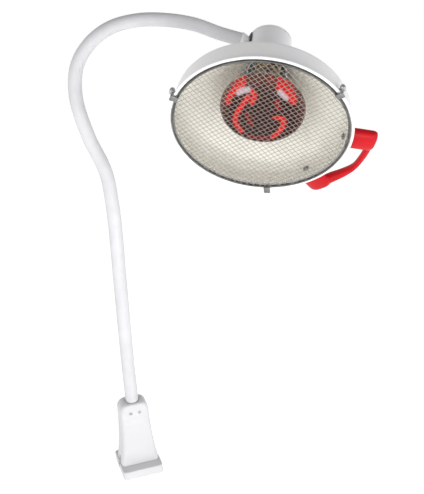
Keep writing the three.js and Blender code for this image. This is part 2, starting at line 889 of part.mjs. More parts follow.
function supplyWire(offset) {
  const turn = radians(INLET.angle);
  const point = (radius, side, height) => new THREE.Vector3(
    radius * Math.cos(turn) - side * Math.sin(turn),
    radius * Math.sin(turn) + side * Math.cos(turn),
    height,
  );
  const path = new THREE.CatmullRomCurve3([
    point(36, offset * 0.6, INLET.height),
    point(26, offset * 0.6, INLET.height),
    point(20, offset, INLET.height + 0.3),
    point(13.6, offset, 156.5),
  ]);
  return swept(path, 6, 0.9, 0, 8);
}

// ---------------------------------------------------------------- the lamp head

const head = group(
  mesh('shade', shade(), whitePaint),
  mesh('reflector', reflector(), aluminium),
  mesh('rear_housing', rearHousing(), whitePaint),
  mesh('end_cap', endCap(), whitePaint),
  mesh('inlet_gasket', inletGasket(), blackPlastic),
  mesh('grille_ring', grilleRing(), steel),
  mesh('grille_mesh', grilleMesh(), steel),
  mesh('handle', handle(), redPlastic),
  mesh('handle_screw_upper', handleScrew(-1), steel),
  mesh('handle_screw_lower', handleScrew(1), steel),
  mesh('bulb_glass', bulbGlass(), rubyGlass),
  mesh('bulb_cap', bulbCap(), brass),
  mesh('bulb_contact', bulbContact(), steel),
  mesh('bulb_stem', bulbStem(), clearGlass),
  mesh('bulb_filament', bulbFilament(), steel),
  mesh('lampholder_body', lampholderBody(), ceramic),
  mesh('lampholder_shell', lampholderShell(), brass),
  mesh('lampholder_contact', lampholderContact(), brass),
  mesh('holder_plate', holderPlate(), steel),
  mesh('terminal_block', terminalBlock(), blackPlastic),
);
terminalScrews().forEach((screw, i) => head.add(mesh(`terminal_screw_${i + 1}`, screw, brass)));
WIRE_ROWS.forEach((offset, i) => head.add(mesh(`supply_wire_${i + 1}`, supplyWire(offset), copperWire)));
for (const [place, angle] of Object.entries(LATCH_ANGLES)) {
  head.add(mesh(`latch_boss_${place}`, latchBoss(angle), steel));
  head.add(mesh(`latch_knob_${place}`, latchKnob(angle), steel));
  head.add(mesh(`latch_lug_${place}`, latchLug(angle), steel));
}
head.applyMatrix4(headPose);

const lamp = group(base, arm, head);

export default lamp;
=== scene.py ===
"""Infrared heat lamp on a flexible arm with a screw-down base: the finished look of every piece.

Lengths are in millimetres in the row frame and become metres when a mesh is made. The lamp head
is made in its own frame: the origin is the middle of the grille ring, +Z runs back along the
lamp's axis, and angles are measured from +X towards +Y.
"""
import math

import bmesh
import bpy
import numpy as np
from mathutils import Matrix, Vector


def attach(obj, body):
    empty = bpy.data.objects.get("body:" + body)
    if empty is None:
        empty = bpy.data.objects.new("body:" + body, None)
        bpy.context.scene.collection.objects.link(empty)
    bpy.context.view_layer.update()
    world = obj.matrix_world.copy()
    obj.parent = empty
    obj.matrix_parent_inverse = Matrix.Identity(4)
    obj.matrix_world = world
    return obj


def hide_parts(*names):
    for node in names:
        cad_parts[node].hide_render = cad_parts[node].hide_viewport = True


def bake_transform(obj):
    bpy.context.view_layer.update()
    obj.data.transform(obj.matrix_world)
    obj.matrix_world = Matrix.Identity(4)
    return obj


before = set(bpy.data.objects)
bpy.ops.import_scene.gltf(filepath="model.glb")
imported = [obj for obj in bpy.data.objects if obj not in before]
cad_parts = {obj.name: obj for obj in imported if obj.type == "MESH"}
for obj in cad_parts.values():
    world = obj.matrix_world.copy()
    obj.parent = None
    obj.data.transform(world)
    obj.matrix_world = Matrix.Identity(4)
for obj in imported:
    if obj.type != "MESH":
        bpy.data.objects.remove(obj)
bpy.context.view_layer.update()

MM = 0.001

# ------------------------------------------------------------------ driving dimensions

FOOT = {"width": 62, "height": 15, "corner": 5, "edge": 1.6}
COVER = {"floor": 15.3, "top": 125, "shoulder": 110, "front": -16, "neck_front": -13.5, "back": 21}
COVER_SIDE = {"half": 22, "flare": 7, "ledge_low": 87, "ledge_high": 99, "top_half": 12, "top_reach": 10.5}
SET_SCREW = {"x": 6.8, "z": 109, "radius": 2.2, "inner": 9.8, "outer": 14.2}
FIXING = {"x": 24.5, "y": 2, "slot": 2.9, "head": 4.2, "scoop_x": 27.4, "scoop": 5.4}
BUSH = {"outer": 10.4, "inner": 7.3, "bottom": 84, "top": 125}
GLAND = {"height": 34, "hole": 5.3}
BORE = 10.7
SLEEVE_RADIUS = 9.75
SLEEVE_INNER = 7.4
ARM_START = 125.4  # the sleeve's lower end
LINE_START = 128  # where distances along the arm are counted from
FIRST_BEND = 70
BENDS = 6
BEND_SPACING = 124

RING = {"outer": 121.1, "inner": 118.6, "front": -1.8, "back": 2}
SHADE = {"radius": 121, "depth": 40.4, "wall": 1.6, "neck": 31.5, "neck_height": 112}
RIM = {"middle": 123.9, "height": 2.2, "bead": 2.3}  # the shade's mouth, rolled outwards
REAR = {"radius": 30, "taper": 1.1, "wall": 1.8, "bottom": 109, "top": 168, "cap": 172}
VENT = {"rows": 2, "pitch": 7, "half": 17, "step": 2.4, "thick": 1.2}
INLET = {"angle": -158, "height": 155.5}
GASKET = {"inner": 31, "outer": 32, "half": 9.5, "bottom": 143, "top": 167}
COLLAR = {"outer": 10.6, "narrow": 7.2, "start": 32.4, "end": 44}
WIRE = {"pitch": 6.35, "radius": 0.37, "weave": 0.34, "turn": -30.7, "height": -0.4, "phase": 0.55}
HANDLE = {"middle": 40.3, "half": 21.6, "height": 17.5, "lean": 0.12, "tip": 161, "grip_rise": 1.9}
HANDLE_FOOT = {"half_depth": 8.8, "half_width": 17.4, "squareness": 2.4}
LATCH_ANGLES = {"left": -153.6, "right": -28.6, "bottom": 90.5}
LATCH = {"axis": 128.1, "rod": 1.5, "knob": 4, "ear_bottom": 6.2, "ear_top": 8.2}
LUG = {"half": 4.4, "inner": -9.5, "outer": 1.8, "bottom": -4.2, "top": -2.2}

HEAD_MIDDLE = (205.2, -65.5, 567.5)
HEAD_TURN = -24.5
HEAD_TILT = -70

# The camera, the lights and the floor are placed in metres and degrees.
CAMERA = {
    "at": (-0.3112, -1.7477, 1.4012), "aim": (0.1237, -0.0711, 0.4012), "roll": 4.3, "lens": 104.94,
}
# The soft lights: name, place, aim, size and power in watts.
LIGHTS = [
    ("key", (-1.6, -1.7, 1.5), (0.1, 0, 0.45), (1.2, 1.6), 26),
    ("fill", (1.8, -1.4, 0.5), (0.15, 0, 0.4), (1.4, 1.4), 12),
    ("low_front", (0.0, -1.5, 0.25), (0.2, -0.05, 0.57), (1.0, 0.5), 9),
]
FLOOR_HALF = 9


def about(axis, degrees):
    return Matrix.Rotation(math.radians(degrees), 4, axis)


HEAD = Matrix.Translation(HEAD_MIDDLE) @ about("Z", HEAD_TURN) @ about("X", HEAD_TILT)
TO_HEAD = HEAD.inverted()
STRAIGHT = Matrix.Identity(4)
FACING_FRONT = about("X", 90)

# ------------------------------------------------------------------ meshes


def soften(item, sharp):
    """Smooth shading, except over edges that turn by more than the given angle."""
    edit = bmesh.new()
    edit.from_mesh(item.data)
    bmesh.ops.recalc_face_normals(edit, faces=edit.faces)
    for face in edit.faces:
        face.smooth = True
    for edge in edit.edges:
        if len(edge.link_faces) == 2:
            edge.smooth = edge.calc_face_angle(0) < math.radians(sharp)
    edit.to_mesh(item.data)
    edit.free()
    item.data.update()


def add_object(name, data):
    item = bpy.data.objects.new(name, data)
    bpy.context.scene.collection.objects.link(item)
    return item


def mesh_piece(name, vertices, faces, material, pose=STRAIGHT, sharp=38):
    """A mesh from points in mm in the given frame, placed in the row frame in metres."""
    data = bpy.data.meshes.new(name)
    data.from_pydata([(pose @ Vector(v)) * MM for v in vertices], [], faces)
    item = add_object(name, data)
    data.materials.append(material)
    soften(item, sharp)
    return item


def filleted(outline, closed=True, steps=5):
    """An outline with its corners rounded by the radius in a point's third number."""
    count = len(outline)
    rounded = []
    for i, point in enumerate(outline):
        here = Vector(point[:2])
        radius = point[2] if len(point) > 2 else 0
        if radius == 0 or (not closed and i in (0, count - 1)):
            rounded.append(tuple(here))
            continue
        before = Vector(outline[i - 1][:2]) - here
        after = Vector(outline[(i + 1) % count][:2]) - here
        half = before.angle(after) / 2
        reach = min(radius / math.tan(half), before.length * 0.48, after.length * 0.48)
        start = here + before.normalized() * reach
        end = here + after.normalized() * reach
        for step in range(steps + 1):
            t = step / steps
            rounded.append(tuple(start * (1 - t) ** 2 + here * 2 * t * (1 - t) + end * t ** 2))
    return rounded


def circle(radius, sides):
    turns = [2 * math.pi * k / sides for k in range(sides)]
    return [(radius * math.cos(turn), radius * math.sin(turn)) for turn in turns]


def turned(name, outline, material, pose=STRAIGHT, sides=96, closed=False, sharp=38):
    """A body of revolution about +Z from [radius, height] points, which end on the axis or close."""
    vertices, rings = [], []
    for radius, height in outline:
        if radius < 1e-6:
            rings.append([len(vertices)])
            vertices.append((0, 0, height))
            continue
        rings.append(range(len(vertices), len(vertices) + sides))
        vertices += [(x, y, height) for x, y in circle(radius, sides)]
    pairs = list(zip(rings, rings[1:]))
    if closed:
        pairs.append((rings[-1], rings[0]))
    faces = []
    for low, high in pairs:
        for k in range(sides):
            corners = [low[k % len(low)], low[(k + 1) % len(low)]]
            corners += [high[(k + 1) % len(high)], high[k % len(high)]]
            unique = list(dict.fromkeys(corners))
            if len(unique) > 2:
                faces.append(unique)
    return mesh_piece(name, vertices, faces, material, pose, sharp)


def tube_faces(first, count, size):
    """The faces between rings of points that follow each other from the first point given."""
    faces = []
    for low in range(first, first + size * (count - 1), size):
        for k in range(size):
            after = (k + 1) % size
            faces.append([low + k, low + after, low + size + after, low + size + k])
    return faces


def stacked(name, rings, material, pose=STRAIGHT):
    """A solid through closed rings of equally many points, with flat ends."""
    size = len(rings[0])
    vertices = [point for ring in rings for point in ring]
    faces = [list(range(size)), list(range(size * (len(rings) - 1), size * len(rings)))]
    faces += tube_faces(0, len(rings), size)
    return mesh_piece(name, vertices, faces, material, pose)


def rounded_rectangle(x0, x1, y0, y1, corner, z, steps=7):
    """A ring of points round a rectangle with round corners, at one height."""
    corner = min(corner, (x1 - x0) / 2 - 0.01, (y1 - y0) / 2 - 0.01)
    centres = [(x1 - corner, y0 + corner, -90), (x1 - corner, y1 - corner, 0)]
    centres += [(x0 + corner, y1 - corner, 90), (x0 + corner, y0 + corner, 180)]
    ring = []
    for cx, cy, first in centres:
        for step in range(steps + 1):
            turn = math.radians(first + 90 * step / steps)
            ring.append((cx + corner * math.cos(turn), cy + corner * math.sin(turn), z))
    return ring


def prism(name, outline, z0, z1, material, pose=STRAIGHT, edge=0.5):
    """An X-Y outline, round its middle, pushed along Z, with small bevels at both ends."""
    middle = Vector((sum(p[0] for p in outline), sum(p[1] for p in outline))) / len(outline)

    def ring(inset, z):
        points = []
        for point in outline:
            away = Vector(point) - middle
            kept = middle + away * (1 - inset / max(away.length, inset * 2))
            points.append((kept.x, kept.y, z))
        return points

    rings = [ring(edge, z0), ring(edge * 0.3, z0 + edge * 0.3), ring(0, z0 + edge)]
    rings += [ring(0, z1 - edge), ring(edge * 0.3, z1 - edge * 0.3), ring(edge, z1)]
    return stacked(name, rings, material, pose)


def carve(item, *cutters, sharp):
    """Cuts the given solids out of a piece, removes them and shades the piece again."""
    for cutter in cutters:
        change = item.modifiers.new("cut", "BOOLEAN")
        change.operation = "DIFFERENCE"
        change.solver = "EXACT"
        change.object = cutter
    settle(item)
    for cutter in cutters:
        bpy.data.objects.remove(cutter)
    soften(item, sharp)


def settle(item):
    """Applies a piece's modifiers to its mesh."""
    graph = bpy.context.evaluated_depsgraph_get()
    made = bpy.data.meshes.new_from_object(item.evaluated_get(graph))
    item.modifiers.clear()
    old = item.data
    item.data = made
    bpy.data.meshes.remove(old)


def join(name, *items):
    """One piece from several meshes that share a material."""
    edit = bmesh.new()
    for item in items:
        edit.from_mesh(item.data)
    data = bpy.data.meshes.new(name)
    edit.to_mesh(data)
    edit.free()
    data.materials.append(items[0].data.materials[0])
    whole = add_object(name, data)
    for item in items:
        bpy.data.objects.remove(item)
    return whole


def between(a, b, start, end, t):
    return a * ((end - t) / (end - start)) + b * ((t - start) / (end - start))


def spline(points, steps):
    """A smooth centripetal Catmull-Rom line through the points."""
    points = [Vector(p) for p in points]
    points = [points[0] * 2 - points[1], *points, points[-1] * 2 - points[-2]]
    line = []
    for p0, p1, p2, p3 in zip(points, points[1:], points[2:], points[3:]):
        t1 = max((p1 - p0).length, 1e-6) ** 0.5
        t2 = t1 + (p2 - p1).length ** 0.5
        t3 = t2 + max((p3 - p2).length, 1e-6) ** 0.5
        for step in range(steps):
            t = t1 + (t2 - t1) * step / steps
            a1, a2, a3 = between(p0, p1, 0, t1, t), between(p1, p2, t1, t2, t), between(p2, p3, t2, t3, t)
            b1, b2 = between(a1, a2, 0, t2, t), between(a2, a3, t1, t3, t)
            line.append(between(b1, b2, t1, t2, t))
    line.append(points[-2])
    return line


def frames_along(line):
    """Two directions across a line at each of its points, turned no more than the line is."""
    tangents = []
    last = len(line) - 1
    for i in range(len(line)):
        tangents.append((line[min(i + 1, last)] - line[max(i - 1, 0)]).normalized())
    across = tangents[0].orthogonal().normalized()
    frames = []
    for tangent in tangents:
        across = (across - tangent * across.dot(tangent)).normalized()
        frames.append((across, tangent.cross(across)))
    return frames


def place(piece, body, slot, *nodes):
    """Puts a finished piece on its body and hides the CAD nodes that it stands for. The finish (slot) is
    not used.
    """
    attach(piece, body)
    if nodes:
        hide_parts(*nodes)


# ------------------------------------------------------------------ materials


class Shader:
    """A principled material whose colour, roughness and relief come from its nodes."""

    def __init__(self, name, **constants):
        self.material = bpy.data.materials.new(name)
        self.material.use_nodes = True
        self.tree = self.material.node_tree
        self.surface = self.tree.nodes["Principled BSDF"]
        for socket, value in constants.items():
            self.surface.inputs[socket.replace("_", " ")].default_value = value
        self.place = self.node("ShaderNodeTexCoord").outputs["Object"]

    def node(self, kind, **settings):
        made = self.tree.nodes.new(kind)
        for key, value in settings.items():
            setattr(made, key, value)
        return made

    def link(self, source, target):
        self.tree.links.new(source, target)

    def noise(self, size, detail=3, stretch=(1, 1, 1), place=None):
        """A noise whose features are about the given size in mm."""
        mapping = self.node("ShaderNodeMapping")
        mapping.inputs["Scale"].default_value = stretch
        self.link(place or self.place, mapping.inputs["Vector"])
        noise = self.node("ShaderNodeTexNoise")
        noise.inputs["Scale"].default_value = 1 / (size * MM)
        noise.inputs["Detail"].default_value = detail
        noise.inputs["Roughness"].default_value = 0.55
        self.link(mapping.outputs["Vector"], noise.inputs["Vector"])
        return noise.outputs["Fac"]

    def ramp(self, source, low, high, start=0.35, end=0.65):
        """Two colours or two values spread over part of a 0 to 1 source."""
        ramp = self.node("ShaderNodeValToRGB")
        set_stops(ramp, (start, low), (end, high))
        self.link(source, ramp.inputs["Fac"])
        return ramp.outputs["Color"]

    def mix(self, amount, first, second, blend="MIX"):
        mix = self.node("ShaderNodeMix", data_type="RGBA", blend_type=blend)
        for socket, value in (("Factor", amount), ("A", first), ("B", second)):
            target = [s for s in mix.inputs if s.name == socket and s.enabled][0]
            if hasattr(value, "is_linked"):
                self.link(value, target)
            else:
                target.default_value = value if socket == "Factor" else as_colour(value)
        return [s for s in mix.outputs if s.enabled][0]

    def mark(self, name):
        """A value that the mesh carries at each of its points."""
        return self.node("ShaderNodeAttribute", attribute_name=name).outputs["Fac"]

    def tones(self, source, first, second):
        return self.mix(self.ramp(source, 0, 1), first, second)

    def colour(self, source):
        self.link(source, self.surface.inputs["Base Color"])

    def roughness(self, source, low, high):
        spread = self.node("ShaderNodeMapRange")
        spread.inputs["To Min"].default_value = low
        spread.inputs["To Max"].default_value = high
        self.link(source, spread.inputs["Value"])
        self.link(spread.outputs["Result"], self.surface.inputs["Roughness"])

    def relief(self, *layers):
        """Bumps from (source, height in mm) pairs."""
        normal = None
        for source, height in layers:
            bump = self.node("ShaderNodeBump")
            bump.inputs["Distance"].default_value = height * MM
            bump.inputs["Strength"].default_value = 1
            self.link(source, bump.inputs["Height"])
            if normal:
                self.link(normal, bump.inputs["Normal"])
            normal = bump.outputs["Normal"]
        self.link(normal, self.surface.inputs["Normal"])


def set_stops(ramp, *stops):
    for element, (position, value) in zip(ramp.color_ramp.elements, stops):
        element.position = position
        element.color = as_colour(value)


def as_colour(value):
    """An opaque colour from three numbers, or a grey from one."""
    values = value if hasattr(value, "__len__") else (value, value, value)
    return (*values, 1)


def white_enamel(name, tone, warm, rough=0.34):
    """Stoved paint: a faint orange peel, slow colour drift and a little handling haze."""
    paint = Shader(name, Specular_IOR_Level=0.45)
    drift = paint.noise(70, 2)
    haze = paint.noise(9, 4)
    base = paint.tones(drift, tone, warm)
    paint.colour(paint.mix(paint.ramp(haze, 0, 0.14), base, [c * 0.93 for c in warm]))
    paint.roughness(haze, rough - 0.05, rough + 0.12)
    paint.relief((paint.noise(1.6, 2), 0.012), (paint.noise(14, 1), 0.03))
    return paint.material


def sleeve_vinyl():
    """Soft extruded sleeve: faint streaks along it, fine grain, slightly uneven wall."""
    vinyl = Shader("sleeve_vinyl", Specular_IOR_Level=0.4)
    along = vinyl.node("ShaderNodeTexCoord").outputs["UV"]
    streaks = vinyl.noise(3, 3, stretch=(1, 0.06, 1), place=along)
    patches = vinyl.noise(38, 2)
    tone = vinyl.tones(patches, (0.585, 0.585, 0.60), (0.54, 0.54, 0.555))
    vinyl.colour(vinyl.mix(vinyl.ramp(streaks, 0, 0.16), tone, (0.51, 0.51, 0.52)))
    vinyl.roughness(streaks, 0.42, 0.6)
    vinyl.relief((vinyl.noise(0.7, 2), 0.012), (vinyl.noise(22, 2), 0.09))
    return vinyl.material


def moulded_red():
    plastic = Shader("moulded_red", Specular_IOR_Level=0.18)
    swirl = plastic.noise(26, 3, stretch=(1, 1, 0.5))
    scuffs = plastic.noise(2.2, 5, stretch=(1, 0.35, 1))
    tone = plastic.tones(swirl, (0.47, 0.003, 0.008), (0.41, 0.002, 0.006))
    plastic.colour(plastic.mix(plastic.ramp(scuffs, 0, 0.2, 0.6, 0.78), tone, (0.56, 0.012, 0.014)))
    plastic.roughness(scuffs, 0.3, 0.46)
    plastic.relief((plastic.noise(0.6, 2), 0.010), (swirl, 0.02))
    return plastic.material


def grained(name, light, dark, rough, grain, tone_size, relief, **constants):
    """Two close tones, uneven gloss and a fine grain."""
    body = Shader(name, **constants)
    tone = body.noise(grain * tone_size, 4)
    fine = body.noise(grain, 3)
    body.colour(body.tones(tone, light, dark))
    body.roughness(fine, *rough)
    body.relief((fine, relief))
    return body.material


def metal(name, light, dark, rough, grain=1.2):
    """Bare or plated metal."""
    return grained(name, light, dark, (rough - 0.08, rough + 0.1), grain, 6, 0.006, Metallic=1.0)


def dull(name, light, dark, rough, grain):
    """Ceramic, rubber and moulded plastic."""
    gloss = (rough - 0.1, rough + 0.1)
    return grained(name, light, dark, gloss, grain, 8, 0.02, Specular_IOR_Level=0.4)


def spun_aluminium():
    """The reflector: satin aluminium with fine rings left by spinning, and a warm haze."""
    bowl = Shader("spun_aluminium", Metallic=0.2, Specular_IOR_Level=0.4)
    rings = bowl.node("ShaderNodeTexWave", wave_type="RINGS", rings_direction="Z")
    rings.inputs["Scale"].default_value = 160
    rings.inputs["Distortion"].default_value = 1.2
    rings.inputs["Detail"].default_value = 2
    centred = bowl.node("ShaderNodeTexCoord").outputs["UV"]
    bowl.link(centred, rings.inputs["Vector"])
    haze = bowl.noise(24, 3)
    tone = bowl.tones(haze, (0.86, 0.85, 0.78), (0.80, 0.79, 0.72))
    bowl.colour(bowl.mix(bowl.ramp(rings.outputs["Fac"], 0, 0.1, 0, 1), tone, (0.62, 0.60, 0.54)))
    bowl.roughness(haze, 0.46, 0.60)
    bowl.relief((rings.outputs["Fac"], 0.008), (bowl.noise(0.9, 2), 0.008))
    return bowl.material


def ruby_lens():
    """Dark ruby glass painted with reflections: a nearly black base stands for the dark room mirrored
    inside, and the bright red streaks and pale patches from the mesh's own marks are painted reflections
    and painted highlights.
    """
    glass = Shader("ruby_lens", Specular_IOR_Level=0.06)
    red = glass.mark("painted_red_reflections")
    pale = glass.mark("painted_pale_highlights")
    cloud = glass.noise(11, 4)
    edge = glass.mark("lens_edge")
    clear = glass.tones(cloud, (0.012, 0.002, 0.001), (0.035, 0.005, 0.004))
    deep = glass.mix(edge, clear, (0.12, 0.04, 0.032))
    # Painted reflections: red streaks, broken up by noise, lift the glass to a lit red.
    broken_reflections = glass.mix(0.35, red, glass.ramp(glass.noise(5, 3), 0.2, 1, 0.3, 0.6), "MULTIPLY")
    with_painted_reflections = glass.mix(broken_reflections, deep, (0.70, 0.016, 0.013))
    # Painted highlights: pale patches laid over the glass.
    glass.colour(glass.mix(pale, with_painted_reflections, (0.60, 0.53, 0.58)))
    glass.roughness(cloud, 0.10, 0.2)
    glass.relief((glass.noise(16, 2), 0.05))
    return glass.material


def silvered_glass():
    glass = Shader("silvered_glass", Metallic=0.9, Specular_IOR_Level=0.5)
    cloud = glass.noise(12, 3)
    glass.colour(glass.tones(cloud, (0.62, 0.58, 0.56), (0.46, 0.40, 0.39)))
    glass.roughness(cloud, 0.12, 0.26)
    glass.relief((glass.noise(9, 2), 0.04))
    return glass.material


def clear_glass():
    glass = Shader("clear_stem_glass", Transmission_Weight=0.9, IOR=1.47)
    cloud = glass.noise(6, 3)
    glass.colour(glass.tones(cloud, (0.9, 0.95, 0.95), (0.8, 0.88, 0.88)))
    glass.roughness(cloud, 0.03, 0.12)
    return glass.material


# Both are the same white stoved paint. The base's copy is darker, painted shade that offsets the bright
# floor light round the base; the head's copy is lighter, painted light for its place under the dim overhead
# sky.
BASE_WHITE = white_enamel("base_enamel", (0.575, 0.575, 0.585), (0.545, 0.545, 0.555))
HEAD_WHITE = white_enamel("head_enamel", (0.80, 0.79, 0.775), (0.78, 0.775, 0.785), 0.3)
VINYL = sleeve_vinyl()
RED = moulded_red()
ALUMINIUM = spun_aluminium()
RUBY = ruby_lens()
SILVERED = silvered_glass()
RING_STEEL = metal("ring_steel", (0.155, 0.155, 0.15), (0.10, 0.10, 0.095), 0.4)
WIRE_ZINC = metal("wire_zinc", (0.42, 0.385, 0.355), (0.34, 0.31, 0.285), 0.42, 0.8)
LATCH_NICKEL = metal("latch_nickel", (0.60, 0.60, 0.59), (0.45, 0.45, 0.44), 0.34)
LUG_STEEL = metal("lug_steel", (0.26, 0.26, 0.26), (0.17, 0.17, 0.17), 0.42)
BRIGHT_STEEL = metal("bright_steel", (0.66, 0.66, 0.65), (0.50, 0.50, 0.49), 0.3)
BRASS = metal("brass_plate", (0.72, 0.54, 0.26), (0.58, 0.41, 0.18), 0.32)
PLATED_BRASS = metal("plated_brass", (0.60, 0.60, 0.60), (0.50, 0.50, 0.50), 0.4)
COPPER = dull("wire_cover", (0.35, 0.16, 0.07), (0.28, 0.11, 0.05), 0.5, 1)
CERAMIC = dull("lampholder_ceramic", (0.80, 0.77, 0.70), (0.72, 0.69, 0.62), 0.45, 1.4)
BLACK = dull("black_moulding", (0.030, 0.030, 0.033), (0.018, 0.018, 0.020), 0.5, 0.8)
CLEAR = clear_glass()

# ------------------------------------------------------------------ base


def base_foot():
    half, edge = FOOT["width"] / 2, FOOT["edge"]
    profile = [(0.9, 0), (0.3, 0.3), (0, 0.9), (0, FOOT["height"] - edge)]
    for step in range(1, 6):
        turn = math.radians(90 * step / 5)
        profile.append((edge * (1 - math.cos(turn)), FOOT["height"] - edge * (1 - math.sin(turn))))
    rings = []
    for inset, z in profile:
        reach = half - inset
        rings.append(rounded_rectangle(-reach, reach, -reach, reach, FOOT["corner"] - inset, z))
    foot = stacked("foot_plate", rings, BASE_WHITE)
    slots = []
    for side in (-1, 1):
        for radius, z0 in ((FIXING["slot"], -1), (5, 7)):
            span = sorted((side * FIXING["x"] - side * radius, side * (half + 4)))
            y0, y1 = FIXING["y"] - radius, FIXING["y"] + radius
            rings = [rounded_rectangle(*span, y0, y1, radius, z, 10) for z in (z0, 20)]
            slots.append(stacked(f"slot_{side}_{z0}", rings, BASE_WHITE))
    carve(foot, *slots, sharp=30)
    place(foot, "base", "white_paint", "base_foot")


def cover_share(z):
    """0 at the cover's floor and 1 at its shoulder."""
    return (z - COVER["floor"]) / (COVER["shoulder"] - COVER["floor"])


def cover_half_width(z):
    """The cover's sides: they flare gently, most of all near the foot."""
    return COVER_SIDE["half"] + COVER_SIDE["flare"] * (1 - cover_share(z)) ** 2.2


def cover_front(z):
    """An upright front panel, a sloping ledge above it, then the neck set back."""
    low, high = COVER_SIDE["ledge_low"], COVER_SIDE["ledge_high"]
    t = min(max((z - low) / (high - low), 0), 1)
    eased = t * t * (3 - 2 * t)
    return COVER["front"] + (COVER["neck_front"] - COVER["front"]) * (0.35 * t + 0.65 * eased)


def cover_back(z):
    return COVER["back"] - 4 * cover_share(z)


def set_screw_pose(side):
    return Matrix.Translation((side * SET_SCREW["x"], 0, SET_SCREW["z"])) @ FACING_FRONT


def cover_cutters():
    """The arm's bore, both set screw holes, a scoop over each fixing screw and the gland's hole."""
    cutters = [prism("bore", circle(BORE, 64), 78, COVER["top"] + 5, BASE_WHITE)]
    hole = circle(SET_SCREW["radius"] + 0.35, 28)
    for side in (-1, 1):
        cutters.append(prism(f"screw_hole_{side}", hole, 7, 20, BASE_WHITE, set_screw_pose(side)))
        at = Matrix.Translation((side * FIXING["scoop_x"], FIXING["y"], 0))
        cutters.append(prism(f"scoop_{side}", circle(FIXING["scoop"], 36), 10, 27, BASE_WHITE, at, 2.5))
    at = Matrix.Translation((0, 0, GLAND["height"])) @ FACING_FRONT
    cutters.append(prism("gland_hole", circle(GLAND["hole"], 32), -30, -10, BASE_WHITE, at))
    return cutters


def base_cover():
    floor, shoulder, top = COVER["floor"], COVER["shoulder"], COVER["top"]
    inset = 0.5
    lowest = cover_half_width(floor) - inset
    rings = [rounded_rectangle(-lowest, lowest, COVER["front"] + inset, COVER["back"] - inset, 5, floor)]
    for z in [floor + inset + (shoulder - floor - inset) * k / 46 for k in range(47)]:
        x = cover_half_width(z)
        rings.append(rounded_rectangle(-x, x, cover_front(z), cover_back(z), 5.5, z))
    neck_back, reach, narrow = cover_back(shoulder), COVER_SIDE["top_reach"], COVER_SIDE["top_half"]
    for step in range(1, 13):
        turn = math.radians(90 * step / 12)
        out, up = math.cos(turn), math.sin(turn)
        x = narrow + (COVER_SIDE["half"] - narrow) * out
        front = -reach + (COVER["neck_front"] + reach) * min(1, out * 2.2)
        back = reach + (neck_back - reach) * out
        rings.append(rounded_rectangle(-x, x, front, back, 5.5 + 2 * up, shoulder + (top - shoulder) * up))
    cover = stacked("base_cover", rings, BASE_WHITE)
    carve(cover, *cover_cutters(), sharp=32)
    place(cover, "base", "white_paint", "base_housing")


def arm_bush():
    outer, inner, bottom, top = BUSH["outer"], BUSH["inner"], BUSH["bottom"], BUSH["top"]
    outline = filleted([(outer, bottom, 0.4), (outer, top, 0.6), (inner, top, 0.6), (inner, bottom, 0.4)])
    bush = turned("arm_bush_ring", outline, PLATED_BRASS, sides=64, closed=True)
    place(bush, "base", "brass", "arm_bush")


def set_screw(side, label):
    radius, inner, outer = SET_SCREW["radius"], SET_SCREW["inner"], SET_SCREW["outer"]
    at = set_screw_pose(side)
    outline = filleted([(0, inner), (radius, inner, 0.2), (radius, outer, 0.5), (0, outer)], closed=False)
    screw = turned(f"set_screw_{label}_socket", outline, BRIGHT_STEEL, at, 32)
    socket = prism("hex", circle(1.25, 6), outer - 1.8, outer + 1.2, BRIGHT_STEEL, at, 0.05)
    carve(screw, socket, sharp=30)
    place(screw, "base", "steel", f"set_screw_{label}")


def fixing_screw(side, label):
    """A pan-headed screw with a cross recess, seated in the foot's slot."""
    at = Matrix.Translation((side * FIXING["x"], FIXING["y"], 0))
    head = FIXING["head"]
    outline = [(0, 0.4), (2.5, 0.4, 0.5), (2.5, 7.3), (head, 7.3, 0.3), (head, 9.4, 0.9)]
    outline += [(head - 1.4, 10.5, 1.5), (0, 10.6)]
    outline = filleted(outline, closed=False)
    screw = turned(f"fixing_screw_{label}_cross", outline, BRIGHT_STEEL, at, 40)
    bars = []
    for k, (x, y) in enumerate(((2.3, 0.5), (0.5, 2.3))):
        rings = []
        for share, z in ((0.6, 8.6), (1, 12)):
            wide, deep = x * share, y * share
            rings.append(rounded_rectangle(-wide, wide, -deep, deep, 0.2, z, 3))
        bars.append(stacked(f"bar_{k}", rings, BRIGHT_STEEL, at))
    carve(screw, *bars, sharp=30)
    place(screw, "base", "steel", f"fixing_screw_{label}")


def cord_gland():
    """A ribbed sleeve at the back, narrower with every rib."""
    outline = [(5, 0), (5, 5), (7.5, 5, 0.5), (7.5, 9, 0.6)]
    for k in range(4):
        outline += [(6.6 - 0.45 * k, 10.2 + 1.7 * k), (5.7 - 0.45 * k, 11.0 + 1.7 * k)]
    outline += [(4.2, 17, 0.4), (3.4, 17, 0.4), (3.4, 0)]
    at = Matrix.Translation((0, COVER["back"] - 5, GLAND["height"])) @ about("X", -90)
    gland = turned("cord_gland_grommet", filleted(outline), BLACK, at, 48, closed=True)
    place(gland, "base", "black_plastic", "cord_gland")


# ------------------------------------------------------------------ flexible arm


def head_point(radius, angle, height):
    turn = math.radians(angle)
    return HEAD @ Vector((radius * math.cos(turn), radius * math.sin(turn), height))


def arm_line():
    """Points along the arm's middle, 2 mm apart, from the base to the end collar."""
    route = [
        (0, 0, LINE_START), (0, 0, 190), (2, 0, 316), (5, 6, 450), (3, 19, 501), (-12, 39, 551),
        (-19, 60, 602), (-10, 74, 641), (13, 81, 668), (44, 86, 683), (82, 89, 686),
        (121, 91, 679.5), (163, 92, 665.5),
        head_point(72, INLET["angle"], INLET["height"]),
        head_point(COLLAR["end"], INLET["angle"], INLET["height"]),
    ]
    dense = spline(route, 60)
    gaps = [(b - a).length for a, b in zip(dense, dense[1:])]
    distances = np.concatenate([[0], np.cumsum(gaps)])
    stations = np.linspace(0, distances[-1], round(distances[-1] / 2) + 1)
    columns = [np.interp(stations, distances, [p[k] for p in dense]) for k in range(3)]
    return stations, [Vector(p) for p in zip(*columns)]


